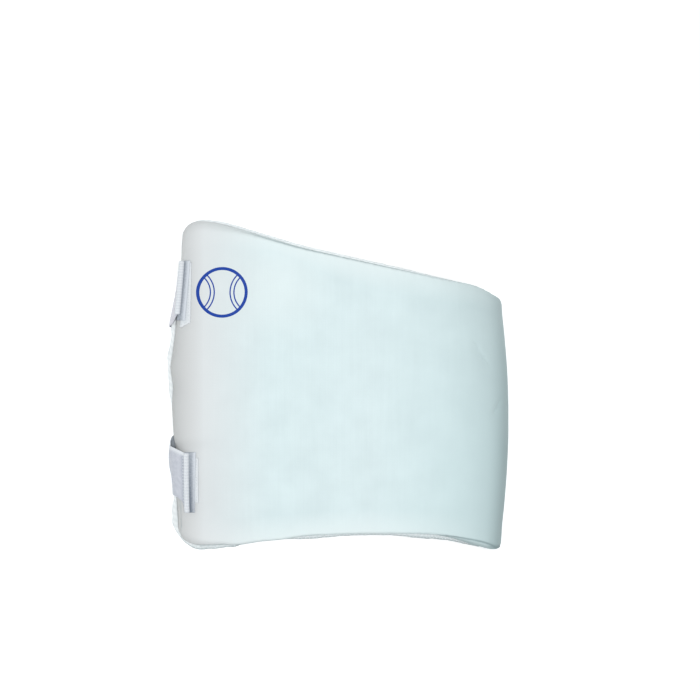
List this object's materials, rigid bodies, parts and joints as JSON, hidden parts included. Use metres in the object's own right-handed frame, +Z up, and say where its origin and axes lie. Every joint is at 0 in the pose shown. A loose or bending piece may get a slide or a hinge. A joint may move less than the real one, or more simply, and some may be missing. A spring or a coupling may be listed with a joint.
{
  "type": "cricket chest guard",
  "caption": "Padded white chest guard, bent round the ribs, tall at its open edge, with a bound rim and wide elastic straps that fasten on sewn tape.",
  "frame": {"origin": "on the table, under the middle of the guard's box", "axes": "+X across the chest from the open edge to the far end, +Y up the wearer's body, +Z up off the table, out of the guard's front"},
  "size_m": [0.3082, 0.2934, 0.0823],
  "materials": {
    "cover": "white coated cloth over foam, matte",
    "lining": "white brushed cloth",
    "binding": "white rolled cloth",
    "elastic": "ribbed woven elastic",
    "loop_tape": "napped loop tape",
    "hook_tape": "woven nylon hook tape"
  },
  "bodies": {
    "root": {"front_pad": "cover", "back_lining": "lining", "edge_binding": "binding", "upper_strap": "elastic", "lower_strap": "elastic", "upper_patch": "loop_tape", "lower_patch": "loop_tape", "upper_hook": "hook_tape", "lower_hook": "hook_tape"}
  },
  "joints": []
}
